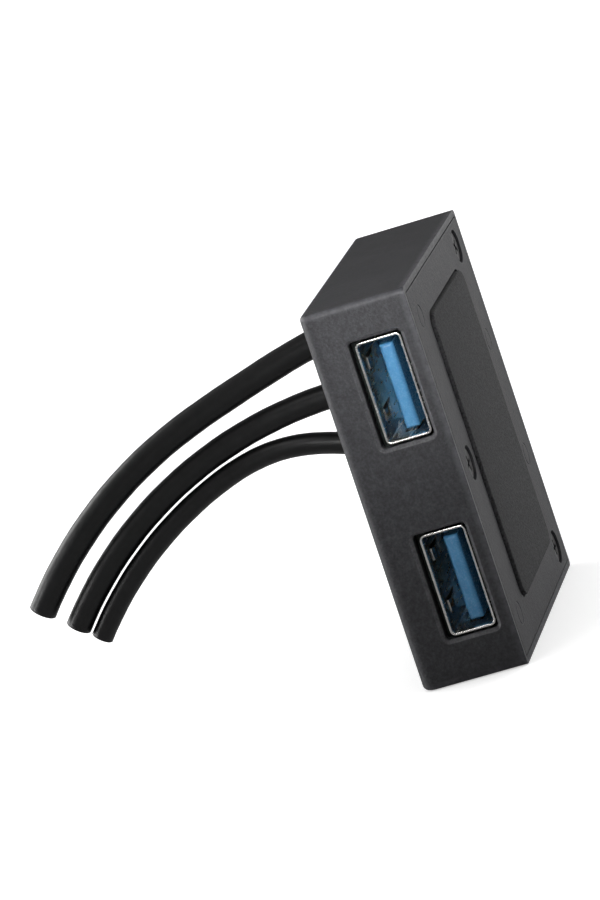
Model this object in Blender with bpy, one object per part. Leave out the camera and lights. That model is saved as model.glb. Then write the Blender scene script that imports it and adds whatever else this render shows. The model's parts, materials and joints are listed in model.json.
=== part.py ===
"""Two-port USB hub block: a slim charcoal module that fastens by its flat side to the back of a screen.

Frame: +Y is the outward normal of the mounting face, +X points out of the end face that holds the two Type-A ports,
+Z is up.  The origin is the centre of the mounting pad's outer face.  Units are metres.
"""
import bpy
import bmesh
import math
from mathutils import Vector, Matrix

for old in list(bpy.data.objects):
    bpy.data.objects.remove(old, do_unlink=True)

MM = 0.001

# ---------------------------------------------------------------- driving dimensions (millimetres)
LENGTH = 48.0            # along X, port end to cable end
HEIGHT = 50.0            # along Z
REAR_Y = -14.4           # rear face of the cover
RIM_Y = -0.5             # rim of the cover and outer face of the base plate
PAD_Y = 0.0              # outer face of the mounting pad
WALL = 1.6               # cover wall
RIM_WALL = 0.8           # wall left beside the inset base plate
LEDGE_Y = -2.45          # ledge that carries the base plate
EDGE_R = 0.7             # rounding of the outer edges
NOSE_R = 1.8             # rounding of the upright edge between the end face and the rear face

PLATE_IN_Y = -2.3        # inner face of the base plate
PLATE_GAP = 0.15
PAD_X, PAD_Z = 28.0, 38.0
PAD_RECESS = 0.6

PORT_Z = (13.15, -12.35)   # centres of the two Type-A ports
PORT_Y = -5.7
PORT_LEN = 17.0
PORT_FRONT = LENGTH / 2 - 0.45
SHELL_Z, SHELL_Y, SHELL_T = 13.1, 5.7, 0.3
TONGUE_Z, TONGUE_T, TONGUE_OFF = 11.1, 1.84, 0.65
CUTOUT_Z, CUTOUT_Y, CUTOUT_SHIFT = 14.0, 6.9, -0.3
CUTOUT_CHAMFER = 0.45

BOARD_LO, BOARD_HI = -9.85, -8.65   # board faces in Y
ON_BOARD = BOARD_HI + 0.05          # where components start

CASE_SCREWS = ((18.0, 0.4), (-18.5, 21.0), (-18.5, -21.0))
BOARD_SCREWS = ((-6.0, 20.4), (-6.0, -20.4))

HOST_Z, POWER_Z, DEVICE_Z = 13.6, 4.0, -5.6
SLIM_Y = -6.92           # centre height of the slim sockets over the board
JACK_Y = -5.6
PLUG_FACE = -LENGTH / 2 - 0.3
CABLE_X = -30.8
CABLE_ARC_Y, CABLE_ARC_Z = -24.0, -54.0    # centre of the arc that the three cables share
CABLE_ARC_DEG = 50.0
CABLE_JOIN = 24.0        # degrees of that arc over which the cables close up into a bundle

CHARCOAL = (0.036, 0.036, 0.040)
BLACK = (0.012, 0.012, 0.013)


# ---------------------------------------------------------------- helpers
def material(name, rgb, rough, metal=0.0):
    mat = bpy.data.materials.new(name)
    mat.use_nodes = True
    bsdf = mat.node_tree.nodes["Principled BSDF"]
    bsdf.inputs["Base Color"].default_value = (*rgb, 1.0)
    bsdf.inputs["Roughness"].default_value = rough
    bsdf.inputs["Metallic"].default_value = metal
    mat.diffuse_color = (*rgb, 1.0)
    return mat


def finish(name, bm, rgb=BLACK, rough=0.5, metal=0.0, parent=None, tool=False, smooth=35.0):
    """Turn a bmesh (built in millimetres, world axes) into an object."""
    bmesh.ops.recalc_face_normals(bm, faces=bm.faces[:])
    origin = parent.location / MM if parent else Vector((0, 0, 0))
    bmesh.ops.translate(bm, verts=bm.verts[:], vec=-origin)
    bmesh.ops.scale(bm, verts=bm.verts[:], vec=(MM, MM, MM))
    mesh = bpy.data.meshes.new(name)
    bm.to_mesh(mesh)
    bm.free()
    ob = bpy.data.objects.new(name, mesh)
    bpy.context.scene.collection.objects.link(ob)
    if parent:
        ob.parent = parent
    if tool:
        ob.hide_render = True
        ob.display_type = 'WIRE'
    else:
        mesh.materials.append(material(name + "_material", rgb, rough, metal))
        mesh.shade_smooth()
        mesh.set_sharp_from_angle(angle=math.radians(smooth))
    return ob


def boolean(ob, tool, operation):
    mod = ob.modifiers.new(operation.lower(), 'BOOLEAN')
    mod.operation = operation
    mod.solver = 'EXACT'
    mod.object = tool
    return mod


def add_box(bm, lo, hi):
    size = [hi[i] - lo[i] for i in range(3)]
    mid = [(hi[i] + lo[i]) / 2 for i in range(3)]
    return bmesh.ops.create_cube(bm, size=1.0, matrix=Matrix.LocRotScale(Vector(mid), None, Vector(size)))["verts"]


def round_edges(bm, pick, width, segments):
    """Round the edges whose middle passes the pick test."""
    chosen = [e for e in bm.edges if pick((e.verts[0].co + e.verts[1].co) / 2, e.verts[1].co - e.verts[0].co)]
    bmesh.ops.bevel(bm, geom=chosen, offset=width, segments=segments, profile=0.5, affect='EDGES', clamp_overlap=True)


def superellipse(hu, hv, power, count):
    """Closed outline, half widths hu and hv, from ellipse (2) to near rectangle (8)."""
    pts = []
    for i in range(count):
        a = 2 * math.pi * (i + 0.5) / count
        c, s = math.cos(a), math.sin(a)
        k = (abs(c) ** power + abs(s) ** power) ** (-1.0 / power)
        pts.append((hu * k * c, hv * k * s))
    return pts


def round_rect(hu, hv, r, seg):
    """Rectangle outline with corner arcs."""
    pts = []
    for cu, cv, a0 in ((hu - r, hv - r, 0), (r - hu, hv - r, 90), (r - hu, r - hv, 180), (hu - r, r - hv, 270)):
        for i in range(seg + 1):
            a = math.radians(a0 + 90.0 * i / seg)
            pts.append((cu + r * math.cos(a), cv + r * math.sin(a)))
    return pts


def loft(bm, rings):
    """Skin a list of rings with equal counts and cap both ends."""
    rows = [[bm.verts.new(p) for p in ring] for ring in rings]
    n = len(rows[0])
    for a, b in zip(rows, rows[1:]):
        for i in range(n):
            bm.faces.new((a[i], a[(i + 1) % n], b[(i + 1) % n], b[i]))
    bm.faces.new(rows[0])
    bm.faces.new(list(reversed(rows[-1])))
    return rows


def tube_x(bm, x0, x1, y, z, outer, inner):
    """Straight tube along X from two outlines given as (y, z) offsets with equal counts."""
    n = len(outer)
    rows = [[bm.verts.new((x, y + p[0], z + p[1])) for p in loop] for x, loop in
            ((x0, outer), (x1, outer), (x1, inner), (x0, inner))]
    for k in range(4):
        a, b = rows[k], rows[(k + 1) % 4]
        for i in range(n):
            bm.faces.new((a[i], a[(i + 1) % n], b[(i + 1) % n], b[i]))


def turned(bm, axis, centre, profile, count):
    """Solid of revolution.  axis is 'X' or 'Y'; profile is a list of (radius, place along the axis)."""
    rings = []
    for r, t in profile:
        ring = []
        for i in range(count):
            a = 2 * math.pi * i / count
            u, v = r * math.cos(a), r * math.sin(a)
            ring.append((t, centre[0] + u, centre[1] + v) if axis == 'X' else (centre[0] + u, t, centre[1] + v))
        rings.append(ring)
    loft(bm, rings)


def sweep(bm, path, section):
    """Sweep a closed section, given as (across, up) offsets, along a path that stays in a plane of constant X or Z.

    across is the axis square to the path's plane, up is square to both.
    """
    pts = [Vector(p) for p in path]
    flat_x = all(abs(p.x - pts[0].x) < 1e-6 for p in pts)
    side = Vector((1, 0, 0)) if flat_x else Vector((0, 0, 1))
    rings = []
    for i, p in enumerate(pts):
        a = pts[max(i - 1, 0)]
        b = pts[min(i + 1, len(pts) - 1)]
        t0 = (p - a).normalized() if i else (b - p).normalized()
        t1 = (b - p).normalized() if i < len(pts) - 1 else t0
        t = (t0 + t1).normalized()
        up = t.cross(side).normalized()
        stretch = 1.0 / max(0.5, t.dot(t1))
        rings.append([p + side * u + up * v * stretch for u, v in section])
    loft(bm, rings)


def circle(r, count):
    return [(r * math.cos(2 * math.pi * i / count), r * math.sin(2 * math.pi * i / count)) for i in range(count)]


HX, HZ = LENGTH / 2, HEIGHT / 2

# ---------------------------------------------------------------- rear cover: tray with two port cut-outs
bm = bmesh.new()
add_box(bm, (-HX, REAR_Y, -HZ), (HX, RIM_Y, HZ))
round_edges(bm, lambda m, d: m.x > HX - 0.01 and m.y < REAR_Y + 0.01 and abs(d.z) > 1, NOSE_R, 4)
sharp = [e for e in bm.edges if e.calc_face_angle() > math.radians(45) and (e.verts[0].co.y + e.verts[1].co.y) / 2 < RIM_Y - 0.01]
bmesh.ops.bevel(bm, geom=sharp, offset=EDGE_R, segments=2, profile=0.5, affect='EDGES', clamp_overlap=True)
rear_cover = finish("rear_cover", bm, CHARCOAL, 0.55)

bm = bmesh.new()
add_box(bm, (-HX + WALL, REAR_Y + WALL, -HZ + WALL), (HX - WALL, 2.0, HZ - WALL))
round_edges(bm, lambda m, d: abs(d.y) > 1, 0.5, 1)
boolean(rear_cover, finish("cut_cavity", bm, tool=True), 'DIFFERENCE')

bm = bmesh.new()
add_box(bm, (-HX + RIM_WALL, LEDGE_Y, -HZ + RIM_WALL), (HX - RIM_WALL, 2.0, HZ - RIM_WALL))
boolean(rear_cover, finish("cut_rebate", bm, tool=True), 'DIFFERENCE')

# screw posts for the plate, and stand-offs for the board
bm = bmesh.new()
for x, z in CASE_SCREWS:
    turned(bm, 'Y', (x, z), [(2.3, REAR_Y + 1.0), (2.3, LEDGE_Y)], 16)
for x, z in BOARD_SCREWS:
    turned(bm, 'Y', (x, z), [(2.0, REAR_Y + 1.0), (2.0, BOARD_LO - 0.1)], 14)
boolean(rear_cover, finish("add_posts", bm, tool=True), 'UNION')

bm = bmesh.new()
for x, z in CASE_SCREWS:
    turned(bm, 'Y', (x, z), [(1.1, -11.0), (1.1, 0.0)], 12)
for x, z in BOARD_SCREWS:
    turned(bm, 'Y', (x, z), [(0.9, -12.9), (0.9, -9.0)], 10)
boolean(rear_cover, finish("cut_pilot_holes", bm, tool=True), 'DIFFERENCE')

# port cut-outs with a chamfered lead-in, and the openings at the cable end
bm = bmesh.new()
for z in PORT_Z:
    rings = []
    for x, g in ((HX - WALL - 1.0, 0.0), (HX - CUTOUT_CHAMFER, 0.0), (HX + 0.3, CUTOUT_CHAMFER + 0.3)):
        rings.append([(x, PORT_Y + CUTOUT_SHIFT + u, z + v) for u, v in round_rect(CUTOUT_Y / 2 + g, CUTOUT_Z / 2 + g, 0.5 + g, 2)])
    loft(bm, rings)
for z in (HOST_Z, DEVICE_Z):
    ring = round_rect(1.85, 4.68, 1.6, 3)
    loft(bm, [[(x, SLIM_Y + u, z + v) for u, v in ring] for x in (-HX - 1.0, -HX + WALL + 1.0)])
ring = round_rect(3.25, 3.75, 0.4, 1)
loft(bm, [[(x, JACK_Y + u, POWER_Z + v) for u, v in ring] for x in (-HX - 1.0, -HX + WALL + 1.0)])
boolean(rear_cover, finish("cut_openings", bm, tool=True), 'DIFFERENCE')

# ---------------------------------------------------------------- base plate, let into the tray
bm = bmesh.new()
px, pz = HX - RIM_WALL - PLATE_GAP, HZ - RIM_WALL - PLATE_GAP
add_box(bm, (-px, PLATE_IN_Y, -pz), (px, RIM_Y, pz))
round_edges(bm, lambda m, d: m.y > RIM_Y - 0.01, 0.25, 1)
base_plate = finish("base_plate", bm, CHARCOAL, 0.6)

bm = bmesh.new()
ring = round_rect(PAD_X / 2 + 0.25, PAD_Z / 2 + 0.25, 2.25, 3)
loft(bm, [[(u, y, v) for u, v in ring] for y in (RIM_Y - PAD_RECESS, 1.0)])
for x, z in CASE_SCREWS:
    turned(bm, 'Y', (x, z), [(1.25, -4.0), (1.25, -1.85), (2.25, -0.85), (2.25, 1.0)], 18)
boolean(base_plate, finish("cut_plate", bm, tool=True), 'DIFFERENCE')

# hold-down ribs that press on the port shells
bm = bmesh.new()
for z in PORT_Z:
    add_box(bm, (9.0, -2.7, z - 4.0), (10.2, PLATE_IN_Y + 0.2, z + 4.0))
    add_box(bm, (15.5, -2.7, z - 4.0), (16.7, PLATE_IN_Y + 0.2, z + 4.0))
boolean(base_plate, finish("add_ribs", bm, tool=True), 'UNION')

# ---------------------------------------------------------------- foam mounting pad
bm = bmesh.new()
ring = round_rect(PAD_X / 2, PAD_Z / 2, 2.0, 3)
loft(bm, [[(u, y, v) for u, v in ring] for y in (RIM_Y - PAD_RECESS + 0.05, PAD_Y)])
finish("mounting_pad", bm, (0.02, 0.02, 0.022), 0.9)


# ---------------------------------------------------------------- screws
def cross_recess(name, x, y, z, arm, width, depth):
    """Plus-shaped driver recess, cut into a head whose top is at y."""
    a, w = arm, width / 2
    plus = [(w, w), (a, w), (a, -w), (w, -w), (w, -a), (-w, -a), (-w, -w), (-a, -w), (-a, w), (-w, w), (-w, a), (w, a)]
    b = bmesh.new()
    loft(b, [[(x + u, yy, z + v) for u, v in plus] for yy in (y - depth, y + 1.0)])
    return finish(name, b, tool=True)


for i, (x, z) in enumerate(CASE_SCREWS, 1):
    bm = bmesh.new()
    turned(bm, 'Y', (x, z), [(0.4, -10.0), (1.0, -9.2), (1.0, -1.85), (1.95, -0.95), (1.95, -0.78)], 16)
    screw = finish(f"case_screw_{i}", bm, (0.16, 0.16, 0.17), 0.35, 1.0)
    boolean(screw, cross_recess(f"cut_case_screw_{i}", x, -0.78, z, 1.15, 0.5, 0.7), 'DIFFERENCE')

for i, (x, z) in enumerate(BOARD_SCREWS, 1):
    bm = bmesh.new()
    turned(bm, 'Y', (x, z), [(0.8, -12.6), (0.8, -8.6), (1.8, -8.6), (1.8, -7.9), (1.3, -7.4)], 14)
    screw = finish(f"board_screw_{i}", bm, (0.45, 0.45, 0.46), 0.3, 1.0)
    boolean(screw, cross_recess(f"cut_board_screw_{i}", x, -7.4, z, 0.95, 0.4, 0.6), 'DIFFERENCE')

# ---------------------------------------------------------------- main board, notched round the posts
outline = [(-22.0, -18.3), (-15.7, -18.3), (-15.7, -22.8), (20.0, -22.8), (20.0, -2.5), (15.2, -2.5), (15.2, 3.3),
           (20.0, 3.3), (20.0, 22.8), (-15.7, 22.8), (-15.7, 18.3), (-22.0, 18.3)]
bm = bmesh.new()
loft(bm, [[(u, y, v) for u, v in outline] for y in (BOARD_LO, BOARD_HI)])
main_board = finish("main_board", bm, (0.012, 0.016, 0.014), 0.45)
bm = bmesh.new()
for x, z in BOARD_SCREWS:
    turned(bm, 'Y', (x, z), [(1.1, -11.0), (1.1, -7.0)], 12)
boolean(main_board, finish("cut_board_holes", bm, tool=True), 'DIFFERENCE')

# ---------------------------------------------------------------- the two Type-A ports
tongue_y = PORT_Y + TONGUE_OFF
face_y = tongue_y - TONGUE_T / 2        # side of the tongue that carries the contacts
back_x = PORT_FRONT - PORT_LEN
block_x = back_x + 4.6
LEGACY_Z = (-3.5, -1.0, 1.0, 3.5)
SS_Z = (-4.0, -2.0, 0.0, 2.0, 4.0)
for n, z in enumerate(PORT_Z, 1):
    bm = bmesh.new()
    tube_x(bm, back_x, PORT_FRONT, PORT_Y, z, round_rect(SHELL_Y / 2, SHELL_Z / 2, 0.55, 2),
           round_rect(SHELL_Y / 2 - SHELL_T, SHELL_Z / 2 - SHELL_T, 0.25, 2))
    finish(f"port_{n}_shell", bm, (0.62, 0.61, 0.58), 0.28, 1.0)

    # blue body: block at the back, tongue towards the mouth
    bm = bmesh.new()
    add_box(bm, (back_x + 0.1, PORT_Y - 2.48, z - 6.16), (block_x, PORT_Y + 2.48, z + 6.16))
    body = finish(f"port_{n}_insulator", bm, (0.03, 0.17, 0.42), 0.35)
    bm = bmesh.new()
    add_box(bm, (back_x + 1.0, face_y, z - TONGUE_Z / 2), (PORT_FRONT - 0.8, face_y + TONGUE_T, z + TONGUE_Z / 2))
    round_edges(bm, lambda m, d: m.x > PORT_FRONT - 1.0, 0.3, 1)
    boolean(body, finish(f"add_tongue_{n}", bm, tool=True), 'UNION')
    bm = bmesh.new()
    for dz in SS_Z:
        add_box(bm, (back_x - 1.0, face_y - 0.01, z + dz - 0.35), (PORT_FRONT - 1.3, face_y + 0.26, z + dz + 0.35))
    boolean(body, finish(f"cut_grooves_{n}", bm, tool=True), 'DIFFERENCE')
    bm = bmesh.new()
    for dz in LEGACY_Z:
        add_box(bm, (back_x - 1.0, face_y - 0.36, z + dz - 0.56), (block_x + 0.3, face_y + 0.03, z + dz + 0.56))
    boolean(body, finish(f"cut_slots_{n}", bm, tool=True), 'DIFFERENCE')

    # flat SuperSpeed strips that run in the tongue's grooves, tails in the back row
    for i, dz in enumerate(SS_Z, 1):
        yy = face_y + 0.13
        path = [(PORT_FRONT - 1.5, yy, z + dz), (back_x - 1.2, yy, z + dz), (back_x - 1.5, yy - 0.3, z + dz),
                (back_x - 1.5, BOARD_HI + 0.04, z + dz)]
        bm = bmesh.new()
        sweep(bm, path, [(0.28, 0.1), (-0.28, 0.1), (-0.28, -0.1), (0.28, -0.1)])
        finish(f"port_{n}_ss_contact_{i}", bm, (0.75, 0.55, 0.22), 0.3, 1.0)
    # sprung USB 2 strips, bowed away from the tongue, tails in the front row
    for i, dz in enumerate(LEGACY_Z, 1):
        yy = face_y - 0.16
        path = [(PORT_FRONT - 5.6, yy - 0.05, z + dz), (PORT_FRONT - 6.6, yy - 0.5, z + dz),
                (PORT_FRONT - 7.4, yy - 0.62, z + dz), (PORT_FRONT - 8.4, yy - 0.5, z + dz),
                (PORT_FRONT - 10.6, yy, z + dz), (back_x - 0.2, yy, z + dz), (back_x - 0.5, yy - 0.3, z + dz),
                (back_x - 0.5, BOARD_HI + 0.04, z + dz)]
        bm = bmesh.new()
        sweep(bm, path, [(0.48, 0.1), (-0.48, 0.1), (-0.48, -0.1), (0.48, -0.1)])
        finish(f"port_{n}_contact_{i}", bm, (0.75, 0.55, 0.22), 0.3, 1.0)


# ---------------------------------------------------------------- components on the board
def chip(name, x, z, sx, h, sz, rgb=BLACK, rough=0.5, metal=0.0, bevel=0.15, y0=ON_BOARD):
    b = bmesh.new()
    add_box(b, (x - sx / 2, y0, z - sz / 2), (x + sx / 2, y0 + h, z + sz / 2))
    round_edges(b, lambda m, d: m.y > y0 + h - 0.01, bevel, 1)
    return finish(name, b, rgb, rough, metal)


chip("hub_controller", -3.5, 0.2, 9.0, 0.9, 9.0)
chip("controller_crystal", -9.9, 2.6, 2.5, 0.8, 3.2, (0.6, 0.6, 0.58), 0.3, 1.0)
chip("voltage_regulator", -13.2, -16.4, 6.5, 1.6, 3.5)
chip("power_inductor", -6.3, -13.0, 5.2, 2.6, 5.2, (0.09, 0.09, 0.09), 0.6, 0.0, 0.4)
chip("port_1_fuse", -4.0, 10.2, 4.5, 0.8, 3.2, (0.03, 0.10, 0.03), 0.5)
chip("port_2_fuse", -4.2, -7.8, 4.5, 0.8, 3.2, (0.03, 0.10, 0.03), 0.5)
chip("port_1_esd_array", 3.2, 7.0, 1.6, 1.1, 2.9)
chip("port_2_esd_array", 3.2, -7.0, 1.6, 1.1, 2.9)
for n, (x, z) in enumerate(((0.8, 15.6), (0.8, -15.6)), 1):
    b = bmesh.new()
    turned(b, 'Y', (x, z), [(2.5, ON_BOARD), (2.5, ON_BOARD + 4.6), (2.2, ON_BOARD + 4.9)], 20)
    finish(f"port_{n}_capacitor", b, (0.55, 0.55, 0.56), 0.35, 1.0)

# ---------------------------------------------------------------- slim sockets and power jack at the cable end
SOCKET_FRONT = -HX + 0.3
for who, z in (("host", HOST_Z), ("device", DEVICE_Z)):
    bm = bmesh.new()
    tube_x(bm, SOCKET_FRONT, SOCKET_FRONT + 7.7, SLIM_Y, z, round_rect(1.62, 4.47, 1.5, 3), round_rect(1.32, 4.19, 1.24, 3))
    finish(f"{who}_socket_shell", bm, (0.6, 0.6, 0.58), 0.28, 1.0)
    bm = bmesh.new()
    add_box(bm, (SOCKET_FRONT + 6.75, SLIM_Y - 1.2, z - 3.4), (SOCKET_FRONT + 7.6, SLIM_Y + 1.2, z + 3.4))
    body = finish(f"{who}_socket_tongue", bm, (0.015, 0.015, 0.016), 0.45)
    bm = bmesh.new()
    add_box(bm, (SOCKET_FRONT + 2.2, SLIM_Y - 0.35, z - 3.3), (SOCKET_FRONT + 7.2, SLIM_Y + 0.35, z + 3.3))
    boolean(body, finish(f"add_{who}_tongue", bm, tool=True), 'UNION')

bm = bmesh.new()
add_box(bm, (SOCKET_FRONT, JACK_Y - 2.95, POWER_Z - 3.5), (SOCKET_FRONT + 12.0, JACK_Y + 2.95, POWER_Z + 3.5))
jack = finish("power_jack", bm, (0.014, 0.014, 0.015), 0.45)
bm = bmesh.new()
turned(bm, 'X', (JACK_Y, POWER_Z), [(1.9, SOCKET_FRONT - 1.0), (1.9, SOCKET_FRONT + 10.2)], 20)
boolean(jack, finish("cut_jack_bore", bm, tool=True), 'DIFFERENCE')
bm = bmesh.new()
turned(bm, 'X', (JACK_Y, POWER_Z), [(0.25, SOCKET_FRONT + 1.4), (0.55, SOCKET_FRONT + 1.9), (0.55, SOCKET_FRONT + 10.15)], 12)
finish("power_jack_pin", bm, (0.62, 0.6, 0.55), 0.3, 1.0)


# ---------------------------------------------------------------- plugs and cables, each on its own pull-out axis
def pull_axis(name, y, z):
    empty = bpy.data.objects.new(name, None)
    bpy.context.scene.collection.objects.link(empty)
    empty.location = (-HX * MM, y * MM, z * MM)
    return empty


def overmould(name, axis, yc, z, half_x, half_y, half_z, cable_r, lean):
    """Right-angle plug body: a soft-cornered block that turns into a ribbed strain relief along -Y.

    lean shifts the strain relief sideways in Z, towards the other cables.
    """
    cx = PLUG_FACE - half_x
    rings = []

    def ring(y, hx, hz, power, shift=0.0):
        hz = min(hz, half_z - abs(lean) * shift)
        rings.append([(cx + (CABLE_X - cx) * shift + u, y, z + lean * shift + v) for u, v in superellipse(hx, hz, power, 20)])

    top, low = yc + half_y, yc - half_y
    ring(top, half_x - 0.9, half_z - 0.9, 7)
    ring(top - 0.25, half_x - 0.3, half_z - 0.3, 7)
    ring(top - 0.8, half_x, half_z, 7)
    ring(low + 1.2, half_x, half_z, 7)
    ring(low + 0.3, half_x - 0.35, half_z - 0.35, 6, 0.3)
    ring(low, half_x - 1.0, half_z - 1.0, 5, 0.6)
    neck = cable_r + 1.15
    ring(low - 0.4, neck + 0.2, neck + 0.2, 2.2, 1.0)
    for k in range(4):
        y = low - 1.0 - 1.9 * k
        r = neck - 0.17 * k
        ring(y, r, r, 2, 1.0)
        ring(y - 1.1, r, r, 2, 1.0)
        ring(y - 1.25, r - 0.4, r - 0.4, 2, 1.0)
        ring(y - 1.75, r - 0.4, r - 0.4, 2, 1.0)
    end = low - 1.0 - 1.9 * 4
    ring(end, cable_r + 0.45, cable_r + 0.45, 2, 1.0)
    ring(end - 0.6, cable_r + 0.2, cable_r + 0.2, 2, 1.0)
    b = bmesh.new()
    loft(b, rings)
    finish(name, b, BLACK, 0.5, parent=axis)
    return end - 0.6


def cable(name, axis, y0, z0, z1, r):
    """Leaves along -Y, then follows the shared arc downwards while it eases from its plug into the bundle."""
    big = z1 - CABLE_ARC_Z
    start, span = y0 - 1.5, y0 - 1.5 - CABLE_ARC_Y + math.radians(CABLE_JOIN) * big
    pts = [(CABLE_X, y0, z0)]

    def ease(gone):
        t = min(1.0, gone / span)
        return (z0 - z1) * (1 - t) ** 4 * (1 + 4 * t)

    for i in range(5):
        y = start + (CABLE_ARC_Y - start) * i / 5
        pts.append((CABLE_X, y, z1 + ease(start - y)))
    for i in range(19):
        a = math.radians(CABLE_ARC_DEG * i / 18)
        rad = big + ease(start - CABLE_ARC_Y + a * big)
        pts.append((CABLE_X, CABLE_ARC_Y - rad * math.sin(a), CABLE_ARC_Z + rad * math.cos(a)))
    b = bmesh.new()
    sweep(b, pts, circle(r, 12))
    finish(name, b, BLACK, 0.45, parent=axis)


for who, z, z_bundle, r, lean in (("host", HOST_Z, 9.9, 1.9, -1.2), ("device", DEVICE_Z, 1.1, 1.5, 2.4)):
    axis = pull_axis(f"{who}_plug_axis", SLIM_Y, z)
    bm = bmesh.new()
    tube_x(bm, PLUG_FACE + 0.05, SOCKET_FRONT + 6.4, SLIM_Y, z, round_rect(1.2, 4.12, 1.15, 3), round_rect(0.95, 3.87, 0.9, 3))
    finish(f"{who}_plug_shell", bm, (0.6, 0.6, 0.58), 0.28, 1.0, parent=axis)
    end = overmould(f"{who}_plug_overmould", axis, SLIM_Y, z, 5.6, 3.1, 5.2, r, lean)
    cable(f"{who}_cable", axis, end - 0.05, z + lean, z_bundle, r)

axis = pull_axis("power_plug_axis", JACK_Y, POWER_Z)
bm = bmesh.new()
tube_x(bm, PLUG_FACE + 0.05, SOCKET_FRONT + 9.2, JACK_Y, POWER_Z, circle(1.75, 20), circle(0.75, 20))
finish("power_plug_barrel", bm, (0.62, 0.6, 0.56), 0.28, 1.0, parent=axis)
end = overmould("power_plug_overmould", axis, SLIM_Y + 0.66, POWER_Z, 5.6, 3.76, 3.7, 1.75, 0.6)
cable("power_cable", axis, end - 0.05, POWER_Z + 0.6, 4.6, 1.75)
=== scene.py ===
"""Looks of the two-port hub block: finer shells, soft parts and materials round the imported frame."""

import bpy
import bmesh
import json
import math
from mathutils import Vector, Matrix

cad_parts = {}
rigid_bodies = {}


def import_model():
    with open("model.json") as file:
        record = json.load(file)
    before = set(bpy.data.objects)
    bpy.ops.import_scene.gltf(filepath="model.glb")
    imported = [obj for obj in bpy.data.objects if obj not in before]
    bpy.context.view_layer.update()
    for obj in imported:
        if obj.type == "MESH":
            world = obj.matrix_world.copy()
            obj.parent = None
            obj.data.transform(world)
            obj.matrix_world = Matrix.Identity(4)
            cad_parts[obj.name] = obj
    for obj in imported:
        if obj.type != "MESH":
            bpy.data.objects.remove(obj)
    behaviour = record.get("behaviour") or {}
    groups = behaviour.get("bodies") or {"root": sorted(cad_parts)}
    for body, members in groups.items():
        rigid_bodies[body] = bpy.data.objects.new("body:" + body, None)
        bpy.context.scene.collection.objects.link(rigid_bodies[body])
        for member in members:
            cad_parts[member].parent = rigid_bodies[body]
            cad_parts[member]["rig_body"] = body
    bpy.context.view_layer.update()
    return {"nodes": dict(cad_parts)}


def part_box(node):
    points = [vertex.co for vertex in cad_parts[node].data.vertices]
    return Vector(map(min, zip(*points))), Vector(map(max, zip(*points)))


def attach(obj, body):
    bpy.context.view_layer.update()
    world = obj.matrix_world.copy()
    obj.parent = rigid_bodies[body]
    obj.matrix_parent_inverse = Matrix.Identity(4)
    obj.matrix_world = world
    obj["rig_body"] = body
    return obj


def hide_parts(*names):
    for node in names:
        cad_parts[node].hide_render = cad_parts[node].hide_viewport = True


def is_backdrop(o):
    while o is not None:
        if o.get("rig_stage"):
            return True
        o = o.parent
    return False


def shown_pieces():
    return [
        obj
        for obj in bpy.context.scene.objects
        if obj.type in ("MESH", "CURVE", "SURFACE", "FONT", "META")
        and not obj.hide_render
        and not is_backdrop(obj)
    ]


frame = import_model()
NODES = frame["nodes"]
BODY_OF = {n: o["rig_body"] for n, o in NODES.items()}

K = 1000.0          # metres to millimetres; everything below is modelled in millimetres
MM = 0.001


def box_mm(node):
    lo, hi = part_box(node)
    return lo * K, hi * K


# ------------------------------------------------------------------------------------------------ mesh helpers
def finish_mesh(name, bm, recalc=True):
    if recalc:
        bmesh.ops.recalc_face_normals(bm, faces=bm.faces[:])
    bmesh.ops.scale(bm, verts=bm.verts[:], vec=(MM, MM, MM))
    mesh = bpy.data.meshes.new(name)
    bm.to_mesh(mesh)
    bm.free()
    ob = bpy.data.objects.new(name, mesh)
    bpy.context.scene.collection.objects.link(ob)
    return ob


def piece(name, bm, body, mat, replaces=(), smooth=35.0, recalc=True):
    ob = finish_mesh(name, bm, recalc)
    ob.data.shade_smooth()
    ob.data.set_sharp_from_angle(angle=math.radians(smooth))
    ob.data.materials.append(mat)
    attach(ob, body)
    if replaces:
        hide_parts(*replaces)
    return ob


def cut(ob, bm, operation='DIFFERENCE'):
    tool = finish_mesh("tool", bm)
    mod = ob.modifiers.new("b", 'BOOLEAN')
    mod.operation, mod.solver, mod.object = operation, 'EXACT', tool
    bake(ob)
    bpy.data.objects.remove(tool, do_unlink=True)


def bake(ob):
    bpy.context.view_layer.update()
    dg = bpy.context.evaluated_depsgraph_get()
    mesh = bpy.data.meshes.new_from_object(ob.evaluated_get(dg), preserve_all_data_layers=True, depsgraph=dg)
    ob.modifiers.clear()
    old = ob.data
    ob.data = mesh
    bpy.data.meshes.remove(old)


def soften(ob, width, segments=3, angle=32.0):
    """Round every sharp edge and keep the broad faces flat-shaded."""
    bm = bmesh.new()
    bm.from_mesh(ob.data)
    bmesh.ops.remove_doubles(bm, verts=bm.verts[:], dist=2e-7)
    bmesh.ops.dissolve_degenerate(bm, dist=2e-7, edges=bm.edges[:])
    bm.to_mesh(ob.data)
    bm.free()
    mod = ob.modifiers.new("bevel", 'BEVEL')
    mod.width, mod.segments = width * MM, segments
    mod.limit_method, mod.angle_limit = 'ANGLE', math.radians(angle)
    mod.use_clamp_overlap = True
    mod.miter_outer = 'MITER_ARC'
    ob.data.shade_smooth()
    wn = ob.modifiers.new("wn", 'WEIGHTED_NORMAL')
    wn.mode, wn.weight = 'FACE_AREA', 60
    bake(ob)


def add_box(bm, lo, hi):
    size = [hi[i] - lo[i] for i in range(3)]
    mid = [(hi[i] + lo[i]) / 2 for i in range(3)]
    return bmesh.ops.create_cube(bm, size=1.0, matrix=Matrix.LocRotScale(Vector(mid), None, Vector(size)))["verts"]


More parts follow.
